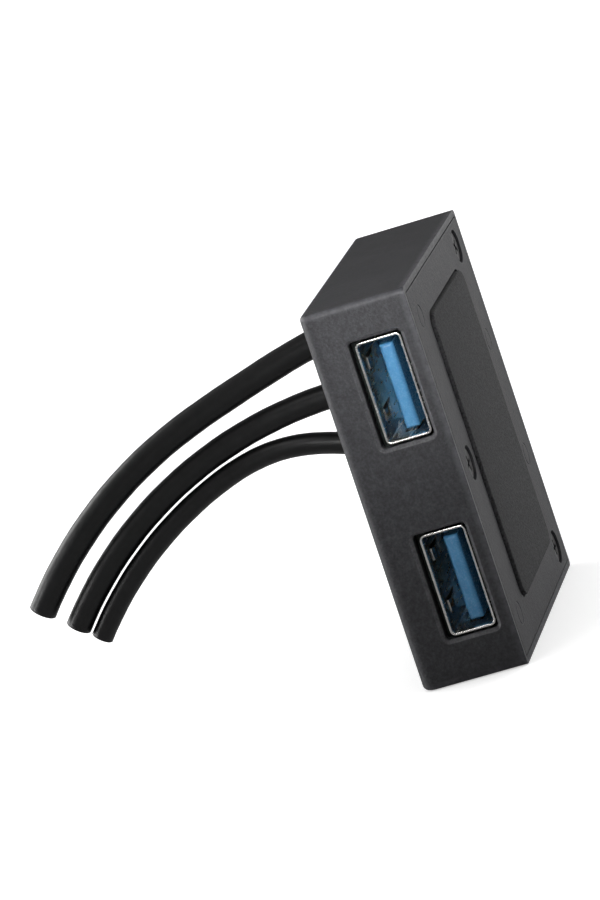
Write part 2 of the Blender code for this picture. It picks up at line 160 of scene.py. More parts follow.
def round_edges(bm, pick, width, segments):
    chosen = [e for e in bm.edges if pick((e.verts[0].co + e.verts[1].co) / 2, e.verts[1].co - e.verts[0].co)]
    bmesh.ops.bevel(bm, geom=chosen, offset=width, segments=segments, profile=0.5, affect='EDGES', clamp_overlap=True)


def superellipse(hu, hv, power, count):
    pts = []
    for i in range(count):
        a = 2 * math.pi * (i + 0.5) / count
        c, s = math.cos(a), math.sin(a)
        k = (abs(c) ** power + abs(s) ** power) ** (-1.0 / power)
        pts.append((hu * k * c, hv * k * s))
    return pts


def round_rect(hu, hv, r, seg):
    pts = []
    for cu, cv, a0 in ((hu - r, hv - r, 0), (r - hu, hv - r, 90), (r - hu, r - hv, 180), (hu - r, r - hv, 270)):
        for i in range(seg + 1):
            a = math.radians(a0 + 90.0 * i / seg)
            pts.append((cu + r * math.cos(a), cv + r * math.sin(a)))
    return pts


def circle(r, count, phase=0.0):
    return [(r * math.cos(2 * math.pi * i / count + phase), r * math.sin(2 * math.pi * i / count + phase)) for i in range(count)]


def loft(bm, rings, caps=True):
    rows = [[bm.verts.new(p) for p in ring] for ring in rings]
    n = len(rows[0])
    for a, b in zip(rows, rows[1:]):
        for i in range(n):
            bm.faces.new((a[i], a[(i + 1) % n], b[(i + 1) % n], b[i]))
    if caps:
        bm.faces.new(rows[0])
        bm.faces.new(list(reversed(rows[-1])))
    return rows


def loop_tube(bm, rings):
    """Closed band: the last ring joins the first, as for a tube wall turned back on itself."""
    rows = [[bm.verts.new(p) for p in ring] for ring in rings]
    n = len(rows[0])
    for k in range(len(rows)):
        a, b = rows[k], rows[(k + 1) % len(rows)]
        for i in range(n):
            bm.faces.new((a[i], a[(i + 1) % n], b[(i + 1) % n], b[i]))


def turned(bm, axis, centre, profile, count):
    rings = []
    for r, t in profile:
        ring = []
        for i in range(count):
            a = 2 * math.pi * i / count
            u, v = r * math.cos(a), r * math.sin(a)
            ring.append((t, centre[0] + u, centre[1] + v) if axis == 'X' else (centre[0] + u, t, centre[1] + v))
        rings.append(ring)
    loft(bm, rings)


def ring_frames(pts):
    """Unit tangents and a side axis that stays square to the path, without twist."""
    tangents = []
    for i in range(len(pts)):
        a, b = pts[max(i - 1, 0)], pts[min(i + 1, len(pts) - 1)]
        tangents.append((b - a).normalized())
    side = Vector((1, 0, 0))
    out = []
    for t in tangents:
        side = (side - t * side.dot(t)).normalized()
        out.append((t, side, t.cross(side).normalized()))
    return out


def sweep(bm, pts, sections, caps=True):
    """sections: one outline for all points, or a list of one per point."""
    frames = ring_frames(pts)
    rings = []
    for i, (p, (t, side, up)) in enumerate(zip(pts, frames)):
        section = sections[i] if isinstance(sections[0], list) else sections
        rings.append([p + side * u + up * v for u, v in section])
    return loft(bm, rings, caps)


# ------------------------------------------------------------------------------------------------ material helpers
class Mat:
    """A node material with coordinates in millimetres."""

    def __init__(self, name, rgb, rough, metal=0.0):
        self.m = bpy.data.materials.new(name)
        self.m.use_nodes = True
        self.t = self.m.node_tree
        self.b = self.t.nodes["Principled BSDF"]
        self.b.inputs["Base Color"].default_value = (*rgb, 1)
        self.b.inputs["Roughness"].default_value = rough
        self.b.inputs["Metallic"].default_value = metal
        self.m.diffuse_color = (*rgb, 1)
        self.rgb = rgb
        co = self.t.nodes.new("ShaderNodeTexCoord")
        sc = self.t.nodes.new("ShaderNodeVectorMath")
        sc.operation = 'SCALE'
        sc.inputs["Scale"].default_value = K
        self.t.links.new(co.outputs["Object"], sc.inputs[0])
        self.co = sc.outputs[0]
        self.height = None

    def node(self, kind, **inputs):
        n = self.t.nodes.new(kind)
        for k, v in inputs.items():
            self.put(n.inputs[k.replace("_", " ")], v)
        return n

    def put(self, socket, value):
        if isinstance(value, bpy.types.NodeSocket):
            self.t.links.new(value, socket)
        else:
            socket.default_value = value

    def stretched(self, x, y, z):
        n = self.t.nodes.new("ShaderNodeVectorMath")
        n.operation = 'MULTIPLY'
        self.t.links.new(self.co, n.inputs[0])
        n.inputs[1].default_value = (x, y, z)
        return n.outputs[0]

    def noise(self, per_mm, detail=3.0, rough=0.55, co=None, distortion=0.0):
        n = self.node("ShaderNodeTexNoise", Vector=co or self.co, Scale=per_mm, Detail=detail, Roughness=rough, Distortion=distortion)
        return n.outputs["Fac"]

    def cells(self, per_mm, feature='F1', co=None, smooth=None):
        n = self.t.nodes.new("ShaderNodeTexVoronoi")
        n.feature = feature
        self.put(n.inputs["Vector"], co or self.co)
        n.inputs["Scale"].default_value = per_mm
        if smooth is not None and feature == 'SMOOTH_F1':
            n.inputs["Smoothness"].default_value = smooth
        return n.outputs["Distance"]

    def ramp(self, fac, stops):
        n = self.t.nodes.new("ShaderNodeValToRGB")
        self.put(n.inputs["Fac"], fac)
        el = n.color_ramp.elements
        while len(el) > 1:
            el.remove(el[-1])
        for i, (p, c) in enumerate(stops):
            e = el[0] if i == 0 else el.new(p)
            e.position = p
            e.color = (c, c, c, 1) if isinstance(c, (int, float)) else (*c, 1)
        return n.outputs["Color"]

    def math(self, op, a, b=0.0, c=0.0, clamp=False):
        n = self.t.nodes.new("ShaderNodeMath")
        n.operation = op
        n.use_clamp = clamp
        self.put(n.inputs[0], a)
        self.put(n.inputs[1], b)
        if len(n.inputs) > 2:
            self.put(n.inputs[2], c)
        return n.outputs[0]

    def mix(self, fac, a, b, mode='MIX'):
        n = self.t.nodes.new("ShaderNodeMix")
        n.data_type = 'RGBA'
        n.blend_type = mode
        self.put(n.inputs["Factor"], fac)
        self.put(n.inputs[6], (*a, 1) if isinstance(a, tuple) else a)
        self.put(n.inputs[7], (*b, 1) if isinstance(b, tuple) else b)
        return n.outputs[2]

    def colour(self, value):
        self.put(self.b.inputs["Base Color"], value)

    def rough(self, value):
        self.put(self.b.inputs["Roughness"], value)

    def rough_range(self, fac, lo, hi):
        n = self.node("ShaderNodeMapRange")
        self.put(n.inputs["Value"], fac)
        n.inputs["To Min"].default_value, n.inputs["To Max"].default_value = lo, hi
        self.rough(n.outputs["Result"])

    def bump(self, height, distance_mm, strength=1.0):
        n = self.t.nodes.new("ShaderNodeBump")
        n.inputs["Strength"].default_value = strength
        n.inputs["Distance"].default_value = distance_mm * MM
        self.put(n.inputs["Height"], height)
        if self.height is not None:
            self.t.links.new(self.height, n.inputs["Normal"])
        self.height = n.outputs["Normal"]
        self.t.links.new(self.height, self.b.inputs["Normal"])

    def xyz(self):
        n = self.t.nodes.new("ShaderNodeSeparateXYZ")
        self.t.links.new(self.co, n.inputs[0])
        return n.outputs


def edge_mask(m, radius_mm, lo=0.02, hi=0.25):
    """1 on rounded outer edges, 0 on flats, for the painted edge highlight: how far a rounded normal leans away from
    the true one.
    """
    bev = m.t.nodes.new("ShaderNodeBevel")
    bev.samples = 4
    bev.inputs["Radius"].default_value = radius_mm * MM
    geo = m.t.nodes.new("ShaderNodeNewGeometry")
    dot = m.t.nodes.new("ShaderNodeVectorMath")
    dot.operation = 'DOT_PRODUCT'
    m.t.links.new(bev.outputs[0], dot.inputs[0])
    m.t.links.new(geo.outputs["True Normal"], dot.inputs[1])
    n = m.node("ShaderNodeMapRange")
    m.put(n.inputs["Value"], m.math('SUBTRACT', 1.0, dot.outputs["Value"]))
    n.inputs["From Min"].default_value, n.inputs["From Max"].default_value = lo, hi
    return n.outputs["Result"]


def block_edges(m, lo, hi, wide, tight):
    """1 along the outer edges of a block from lo to hi, 0 on its faces: the second nearest of the block's planes."""
    x, y, z = m.xyz()[:3]
    near = []
    for v, a, b in ((x, lo.x, hi.x), (y, lo.y, hi.y), (z, lo.z, hi.z)):
        near.append(m.math('MINIMUM', m.math('SUBTRACT', v, a), m.math('SUBTRACT', b, v)))
    p, q, r = near
    second = m.math('MAXIMUM', m.math('MINIMUM', p, q), m.math('MINIMUM', m.math('MAXIMUM', p, q), r))
    n = m.node("ShaderNodeMapRange")
    m.put(n.inputs["Value"], second)
    n.inputs["From Min"].default_value, n.inputs["From Max"].default_value = wide, tight
    return n.outputs["Result"]


def textured_plastic(name, rgb, rough=0.5, grain=1.0, mottle=0.20, edges=0.0, block=None):
    """Spark-eroded moulded plastic: pits and bumps under half a millimetre, a cloudy mottle, and edges with lower
    roughness and a paler colour that is a painted highlight.
    """
    m = Mat(name, rgb, rough)
    fine = m.noise(3.1, 4.0, 0.65)
    pits = m.cells(2.3, 'SMOOTH_F1', smooth=0.6)
    grainy = m.math('ADD', m.math('MULTIPLY', fine, 0.7), m.math('MULTIPLY', pits, 0.45))
    m.bump(grainy, 0.085 * grain, 0.8)
    m.bump(m.noise(0.22, 2.0), 0.03, 0.5)
    patch = m.noise(0.75, 6.0, 0.72)
    shade = m.ramp(patch, [(0.30, tuple(c * (1 - mottle) for c in rgb)), (0.5, rgb), (0.72, tuple(c * (1 + mottle * 1.4) for c in rgb))])
    specks = m.ramp(fine, [(0.36, 0.74), (0.50, 1.0), (0.66, 1.34)])
    col = m.mix(1.0, shade, specks, 'MULTIPLY')
    polish = m.math('ADD', m.math('MULTIPLY', fine, 0.6), m.math('MULTIPLY', m.noise(0.12, 2.0), 0.4))
    # painted highlight: the base colour is lightened up to threefold along the rounded outer edges, in noisy patches;
    # the roughness drops there too
    if edges:
        painted_edge_highlight = edge_mask(m, 0.55)
        if block:
            painted_edge_highlight = m.math('MAXIMUM', painted_edge_highlight, block_edges(m, *block, 0.95, 0.25))
        painted_edge_highlight = m.math('MULTIPLY', painted_edge_highlight, m.ramp(m.noise(1.1, 4.0, 0.65), [(0.30, 0.35), (0.62, 1.0)]))
        col = m.mix(m.math('MULTIPLY', painted_edge_highlight, edges), col, tuple(min(1.0, c * 3.0) for c in rgb))
        polish = m.math('SUBTRACT', polish, m.math('MULTIPLY', painted_edge_highlight, 0.5))
    m.colour(col)
    m.rough_range(polish, rough - 0.12, rough + 0.12)
    m.b.inputs["Specular IOR Level"].default_value = 0.30
    return m


# ------------------------------------------------------------------------------------------------ materials
CHARCOAL = (0.034, 0.034, 0.0375)

# edges= sets how strongly the painted highlight lightens the outer edges of the case and the plate
case = textured_plastic("case_plastic", CHARCOAL, 0.46, edges=0.60, block=box_mm("rear_cover"))
# paler plastic for the chamfers round the port cut-outs: its paleness is a painted highlight
painted_chamfer_highlight = textured_plastic("cut_edge_plastic", (0.075, 0.075, 0.080), 0.36, 0.5)
plate_mat = textured_plastic("plate_plastic", (0.031, 0.031, 0.0345), 0.54, 1.1, edges=0.4)

nickel = Mat("plated_steel", (0.70, 0.69, 0.66), 0.24, 1.0)
drawn = nickel.noise(1.2, 3.0, 0.5, nickel.stretched(0.25, 2.0, 2.0))
nickel.rough_range(drawn, 0.20, 0.32)
nickel.bump(drawn, 0.003, 0.5)
nickel.colour(nickel.ramp(nickel.noise(0.6, 3.0), [(0.3, (0.60, 0.59, 0.57)), (0.7, (0.78, 0.77, 0.74))]))

blue = Mat("blue_plastic", (0.072, 0.240, 0.44), 0.26)
blue.colour(blue.ramp(blue.noise(0.9, 4.0, 0.6), [(0.3, (0.062, 0.215, 0.405)), (0.7, (0.085, 0.265, 0.475))]))
blue.rough_range(blue.noise(6.0, 3.0), 0.19, 0.34)
blue.bump(blue.noise(7.0, 3.0), 0.012, 0.5)
blue.b.inputs["Subsurface Weight"].default_value = 0.08
blue.b.inputs["Subsurface Radius"].default_value = (0.0002, 0.0004, 0.0009)

gold = Mat("contact_brass", (0.83, 0.60, 0.26), 0.25, 1.0)
gold.rough_range(gold.noise(4.0, 3.0, 0.5, gold.stretched(0.3, 2.0, 2.0)), 0.16, 0.34)
gold.colour(gold.ramp(gold.noise(1.5, 3.0), [(0.3, (0.72, 0.50, 0.20)), (0.7, (0.88, 0.66, 0.30))]))
gold.bump(gold.noise(6.0, 3.0), 0.004, 0.5)

jacket = Mat("cable_jacket", (0.006, 0.006, 0.0065), 0.36)
jacket.rough_range(jacket.noise(1.6, 4.0, 0.65), 0.27, 0.48)
jacket.colour(jacket.ramp(jacket.noise(0.7, 4.0, 0.6), [(0.3, (0.003, 0.003, 0.0033)), (0.72, (0.0065, 0.0065, 0.007))]))
jacket.bump(jacket.noise(4.5, 4.0, 0.6), 0.02, 0.5)
jacket.bump(jacket.noise(0.35, 2.0), 0.10, 0.5)
jacket.b.inputs["Specular IOR Level"].default_value = 0.38

moulding = Mat("overmould_rubber", (0.014, 0.014, 0.015), 0.52)
moulding.rough_range(moulding.noise(3.0, 3.0), 0.44, 0.64)
moulding.colour(moulding.ramp(moulding.noise(1.1, 4.0, 0.65), [(0.3, (0.011, 0.011, 0.012)), (0.7, (0.020, 0.020, 0.021))]))
moulding.bump(moulding.math('ADD', moulding.math('MULTIPLY', moulding.noise(6.0, 3.0), 0.6), moulding.math('MULTIPLY', moulding.cells(4.5), 0.5)), 0.05, 0.6)

foam = Mat("foam_pad", (0.022, 0.022, 0.024), 0.92)
cells = foam.cells(3.4, 'F1')
foam.colour(foam.ramp(cells, [(0.05, (0.007, 0.007, 0.008)), (0.35, (0.022, 0.022, 0.024)), (0.8, (0.036, 0.036, 0.038))]))
foam.rough_range(foam.noise(2.0, 3.0), 0.82, 0.98)
foam.bump(cells, 0.12, 0.7)
foam.bump(foam.noise(1.0, 4.0), 0.08, 0.5)

steel = Mat("black_steel", (0.055, 0.055, 0.058), 0.34, 0.85)
steel.rough_range(steel.noise(5.0, 3.0), 0.24, 0.46)
steel.colour(steel.ramp(steel.noise(2.0, 4.0, 0.6), [(0.3, (0.040, 0.040, 0.043)), (0.7, (0.085, 0.084, 0.083))]))
steel.bump(steel.noise(6.0, 3.0), 0.012, 0.6)

zinc = Mat("zinc_steel", (0.50, 0.50, 0.50), 0.32, 1.0)
zinc.rough_range(zinc.noise(4.0, 3.0), 0.24, 0.44)
zinc.colour(zinc.ramp(zinc.noise(1.5, 3.0), [(0.3, (0.42, 0.42, 0.43)), (0.7, (0.60, 0.60, 0.59))]))
zinc.bump(zinc.noise(5.0, 3.0), 0.01, 0.5)

# board: solder mask with raised tracks
pcb = Mat("circuit_board", (0.012, 0.016, 0.014), 0.38)
tracks = pcb.t.nodes.new("ShaderNodeTexBrick")
pcb.put(tracks.inputs["Vector"], pcb.stretched(1, 1, 1))
tracks.inputs["Scale"].default_value = 0.7
tracks.inputs["Mortar Size"].default_value = 0.06
line = pcb.ramp(tracks.outputs["Fac"], [(0.4, 0.0), (0.6, 1.0)])
pcb.colour(pcb.mix(line, pcb.ramp(pcb.noise(1.0, 3.0), [(0.3, (0.009, 0.012, 0.011)), (0.7, (0.015, 0.019, 0.017))]), (0.026, 0.034, 0.030)))
pcb.rough_range(pcb.noise(2.0, 2.0), 0.28, 0.45)
pcb.bump(line, 0.035, 0.6)
pcb.bump(pcb.noise(5.0, 2.0), 0.01, 0.4)

chip_mat = Mat("chip_plastic", (0.012, 0.012, 0.013), 0.50)
chip_mat.rough_range(chip_mat.noise(6.0, 3.0), 0.40, 0.60)
chip_mat.colour(chip_mat.ramp(chip_mat.noise(8.0, 3.0, 0.7), [(0.35, (0.009, 0.009, 0.010)), (0.7, (0.022, 0.022, 0.023))]))
chip_mat.bump(chip_mat.noise(9.0, 3.0), 0.012, 0.6)

fuse = Mat("fuse_green", (0.030, 0.10, 0.030), 0.45)
fuse.colour(fuse.ramp(fuse.noise(2.5, 3.0), [(0.3, (0.022, 0.080, 0.024)), (0.7, (0.040, 0.125, 0.038))]))
fuse.rough_range(fuse.noise(5.0, 2.0), 0.38, 0.58)
fuse.bump(fuse.noise(7.0, 2.0), 0.01, 0.5)

ferrite = Mat("ferrite", (0.085, 0.085, 0.085), 0.62)
ferrite.colour(ferrite.ramp(ferrite.noise(7.0, 4.0, 0.7), [(0.35, (0.060, 0.060, 0.060)), (0.7, (0.12, 0.12, 0.118))]))
ferrite.rough_range(ferrite.noise(4.0, 3.0), 0.52, 0.74)
ferrite.bump(ferrite.noise(6.0, 4.0, 0.7), 0.04, 0.6)

can = Mat("capacitor_can", (0.55, 0.55, 0.56), 0.35, 1.0)
can.colour(can.ramp(can.noise(1.4, 3.0), [(0.3, (0.48, 0.48, 0.49)), (0.7, (0.62, 0.62, 0.63))]))
can.rough_range(can.noise(4.0, 3.0, 0.5, can.stretched(2.0, 0.3, 2.0)), 0.26, 0.44)
can.bump(can.noise(5.0, 2.0), 0.008, 0.5)


def core_plastic(name, rgb):
    m = Mat(name, rgb, 0.4)
    m.colour(m.ramp(m.noise(4.0, 3.0), [(0.3, tuple(c * 0.85 for c in rgb)), (0.7, tuple(min(1, c * 1.12) for c in rgb))]))
    m.rough_range(m.noise(5.0, 2.0), 0.34, 0.5)
    m.bump(m.noise(8.0, 2.0), 0.008, 0.5)
    return m


core_red = core_plastic("core_red", (0.45, 0.02, 0.02))
core_white = core_plastic("core_white", (0.65, 0.65, 0.62))
core_green = core_plastic("core_green", (0.03, 0.25, 0.06))
core_black = core_plastic("core_black", (0.015, 0.015, 0.016))
core_blue = core_plastic("core_blue", (0.03, 0.10, 0.42))
copper = Mat("copper_strands", (0.80, 0.38, 0.20), 0.3, 1.0)
strand = copper.cells(8.0)
copper.colour(copper.ramp(strand, [(0.1, (0.85, 0.42, 0.24)), (0.7, (0.45, 0.18, 0.09))]))
copper.rough_range(copper.noise(6.0, 2.0), 0.22, 0.42)
copper.bump(strand, 0.05, 0.8)
braid = Mat("braid_shield", (0.62, 0.60, 0.58), 0.35, 1.0)
weave = braid.cells(6.0)
braid.colour(braid.ramp(weave, [(0.1, (0.72, 0.70, 0.67)), (0.7, (0.25, 0.24, 0.23))]))
braid.rough_range(braid.noise(5.0, 2.0), 0.26, 0.46)
braid.bump(weave, 0.06, 0.8)

# ------------------------------------------------------------------------------------------------ CAD nodes that stay
FINISH = {}
for n in (1, 2):
    for i in range(1, 5):
        FINISH[f"port_{n}_contact_{i}"] = gold
    for i in range(1, 6):
        FINISH[f"port_{n}_ss_contact_{i}"] = gold
    FINISH[f"board_screw_{n}"] = zinc
    FINISH[f"port_{n}_fuse"] = fuse
    FINISH[f"port_{n}_esd_array"] = chip_mat
    FINISH[f"port_{n}_capacitor"] = can
FINISH.update(main_board=pcb, hub_controller=chip_mat, voltage_regulator=chip_mat, controller_crystal=zinc, power_inductor=ferrite,
              host_socket_shell=nickel, device_socket_shell=nickel, host_socket_tongue=chip_mat, device_socket_tongue=chip_mat,
              power_jack_pin=nickel)
for node, mat in FINISH.items():
    ob = NODES[node]
    ob.data.materials.clear()
    ob.data.materials.append(mat.m)

# ------------------------------------------------------------------------------------------------ rear cover
lo, hi = box_mm("rear_cover")
HX, HZ = hi.x, hi.z
REAR_Y, RIM_Y = lo.y, hi.y
plate_lo, plate_hi = box_mm("base_plate")
pad_lo, pad_hi = box_mm("mounting_pad")
PORTS = {n: box_mm(f"port_{n}_shell") for n in (1, 2)}
PORT_Z = {n: (a.z + b.z) / 2 for n, (a, b) in PORTS.items()}
PORT_Y = (PORTS[1][0].y + PORTS[1][1].y) / 2
PORT_FRONT, PORT_BACK = PORTS[1][1].x, PORTS[1][0].x
CUT_Y, CUT_Z, CUT_SHIFT = 6.9, 14.0, -0.3
WALL, RIM = 1.6, 0.8
screws = {n: ((a.x + b.x) / 2, (a.z + b.z) / 2) for n, (a, b) in ((n, box_mm(f"case_screw_{n}")) for n in (1, 2, 3))}
stands = {n: ((a.x + b.x) / 2, (a.z + b.z) / 2) for n, (a, b) in ((n, box_mm(f"board_screw_{n}")) for n in (1, 2))}
board_lo, board_hi = box_mm("main_board")

bm = bmesh.new()
add_box(bm, (-HX, REAR_Y, -HZ), (HX, RIM_Y, HZ))
round_edges(bm, lambda m, d: m.x > HX - 0.01 and m.y < REAR_Y + 0.01 and abs(d.z) > 1, 1.8, 14)
sharp = [e for e in bm.edges if e.calc_face_angle() > math.radians(45) and (e.verts[0].co.y + e.verts[1].co.y) / 2 < RIM_Y - 0.01]
bmesh.ops.bevel(bm, geom=sharp, offset=0.7, segments=6, profile=0.5, affect='EDGES', clamp_overlap=True)
cover = piece("rear_cover_shell", bm, "hub", case.m, ["rear_cover"])

bm = bmesh.new()
add_box(bm, (-HX + WALL, REAR_Y + WALL, -HZ + WALL), (HX - WALL, 2.0, HZ - WALL))
round_edges(bm, lambda m, d: abs(d.y) > 1, 0.5, 4)
cut(cover, bm)
bm = bmesh.new()
ring = round_rect(HX - RIM, HZ - RIM, 0.35, 4)
loft(bm, [[(u, y, v) for u, v in ring] for y in (plate_lo.y - 0.15, 2.0)])
cut(cover, bm)

bm = bmesh.new()
for x, z in screws.values():
    turned(bm, 'Y', (x, z), [(2.3, REAR_Y + 1.0), (2.3, plate_lo.y - 0.15)], 40)
for x, z in stands.values():
    turned(bm, 'Y', (x, z), [(2.0, REAR_Y + 1.0), (2.0, board_lo.y - 0.1)], 36)
cut(cover, bm, 'UNION')
bm = bmesh.new()
for x, z in screws.values():
    turned(bm, 'Y', (x, z), [(1.1, -11.0), (1.1, 0.0)], 24)
for x, z in stands.values():
    turned(bm, 'Y', (x, z), [(0.9, -12.9), (0.9, -9.0)], 20)
cut(cover, bm)

# port cut-outs with a chamfered lead-in
bm = bmesh.new()
for n in (1, 2):
    rings = []
    for x, g in ((HX - WALL - 1.0, 0.0), (HX - 0.50, 0.0), (HX - 0.42, 0.03), (HX - 0.04, 0.41), (HX + 0.02, 0.49), (HX + 0.6, 1.15)):
        rings.append([(x, PORT_Y + CUT_SHIFT + u, PORT_Z[n] + v) for u, v in round_rect(CUT_Y / 2 + g, CUT_Z / 2 + g, 0.55 + g, 6)])
    loft(bm, rings)
cut(cover, bm)
# openings at the cable end
sock = {w: box_mm(f"{w}_socket_shell") for w in ("host", "device")}
jack_lo, jack_hi = box_mm("power_jack")
bm = bmesh.new()
for w, (a, b) in sock.items():
    rings = []
    for x, g in ((-HX + WALL + 1.0, 0.0), (-HX + 0.25, 0.0), (-HX - 0.02, 0.2), (-HX - 0.6, 0.6)):
        rings.append([(x, (a.y + b.y) / 2 + u, (a.z + b.z) / 2 + v) for u, v in round_rect(1.85 + g, 4.68 + g, 1.6 + g, 8)])
    loft(bm, rings)
rings = []
for x, g in ((-HX + WALL + 1.0, 0.0), (-HX + 0.25, 0.0), (-HX - 0.02, 0.2), (-HX - 0.6, 0.6)):
    rings.append([(x, (jack_lo.y + jack_hi.y) / 2 + u, (jack_lo.z + jack_hi.z) / 2 + v) for u, v in round_rect(3.25 + g, 3.75 + g, 0.4 + g, 4)])
loft(bm, rings)
cut(cover, bm)
soften(cover, 0.09, 2)

# the chamfered lead-ins of the port cut-outs get a smoother plastic whose paler colour is a painted highlight
cover.data.materials.append(painted_chamfer_highlight.m)
for f in cover.data.polygons:
    c = f.center * K
    if HX - 0.52 < c.x < HX + 0.01 and 0.35 < f.normal.x < 0.96:
        for n in (1, 2):
            if abs(c.y - PORT_Y - CUT_SHIFT) < CUT_Y / 2 + 0.5 and abs(c.z - PORT_Z[n]) < CUT_Z / 2 + 0.5:
                f.material_index = 1

# ------------------------------------------------------------------------------------------------ base plate
bm = bmesh.new()
ring = round_rect(plate_hi.x, plate_hi.z, 0.25, 4)
loft(bm, [[(u, y, v) for u, v in ring] for y in (-2.3, RIM_Y)])
plate = piece("base_plate_lid", bm, "hub", plate_mat.m, ["base_plate"])
bm = bmesh.new()
ring = round_rect(pad_hi.x + 0.25, pad_hi.z + 0.25, 2.25, 8)
loft(bm, [[(u, y, v) for u, v in ring] for y in (RIM_Y - 0.6, 1.0)])
for x, z in screws.values():
    turned(bm, 'Y', (x, z), [(1.25, -4.0), (1.25, -1.85), (2.25, -0.85), (2.25, 1.0)], 40)
cut(plate, bm)
bm = bmesh.new()
for n in (1, 2):
    add_box(bm, (9.0, -2.7, PORT_Z[n] - 4.0), (10.2, -2.1, PORT_Z[n] + 4.0))
    add_box(bm, (15.5, -2.7, PORT_Z[n] - 4.0), (16.7, -2.1, PORT_Z[n] + 4.0))
cut(plate, bm, 'UNION')
# shallow ejector-pin rings, as on any such lid
bm = bmesh.new()
for x, z in ((18.6, 20.0), (18.6, -19.6), (-18.8, 8.0), (-18.8, -8.0)):
    outer = [(x + u, v + z) for u, v in circle(1.5, 36)]
    inner = [(x + u, v + z) for u, v in circle(1.36, 36)]
    loop_tube(bm, [[(u, RIM_Y - 0.08, v) for u, v in outer], [(u, RIM_Y + 0.5, v) for u, v in outer],
                   [(u, RIM_Y + 0.5, v) for u, v in inner], [(u, RIM_Y - 0.08, v) for u, v in inner]])
cut(plate, bm)
soften(plate, 0.10, 2)

# ------------------------------------------------------------------------------------------------ foam pad
bm = bmesh.new()
rings = []
for y, g in ((pad_lo.y, -0.12), (pad_lo.y + 0.08, 0.0), (-0.45, 0.03), (-0.12, 0.0), (-0.03, -0.06), (0.0, -0.16)):
    rings.append([(u, y, v) for u, v in round_rect(pad_hi.x + g - 0.03, pad_hi.z + g - 0.03, 2.0 + g, 10)])
loft(bm, rings)
piece("foam_mounting_pad", bm, "hub", foam.m, ["mounting_pad"], smooth=50)


# ------------------------------------------------------------------------------------------------ case screws
def cross_tool(x, y, z, arm, width, depth, turn):
    w = width / 2
    plus = [(w, w), (arm, w), (arm, -w), (w, -w), (w, -arm), (-w, -arm), (-w, -w), (-arm, -w), (-arm, w), (-w, w), (-w, arm), (w, arm)]
    c, s = math.cos(turn), math.sin(turn)
    b = bmesh.new()
    rings = []
    for yy, k in ((y - depth, 0.45), (y - depth * 0.45, 0.85), (y + 0.02, 1.0), (y + 0.5, 1.05)):
        rings.append([(x + (u * c - v * s) * k, yy, z + (u * s + v * c) * k) for u, v in plus])
    loft(b, rings)
    return b


for n, (x, z) in screws.items():
    bm = bmesh.new()
    profile = [(0.25, -10.0), (0.55, -9.8)]
    y, k = -9.6, 0
    while y < -2.9:                         # thread: stepped crests on the core
        profile += [(0.78, y), (0.98, y + 0.16), (0.98, y + 0.22), (0.78, y + 0.38)]
        y += 0.62
    profile += [(0.9, -2.3), (1.0, -1.85), (1.9, -0.98), (1.95, -0.92), (1.95, -0.84), (1.90, -0.79), (1.78, -0.78)]
    turned(bm, 'Y', (x, z), profile, 44)
    screw = piece(f"case_screw_{n}_body", bm, "hub", steel.m, [f"case_screw_{n}"], smooth=30)
    cut(screw, cross_tool(x, -0.78, z, 1.1, 0.46, 0.75, 0.4 + 0.9 * n))
    screw.data.set_sharp_from_angle(angle=math.radians(30))

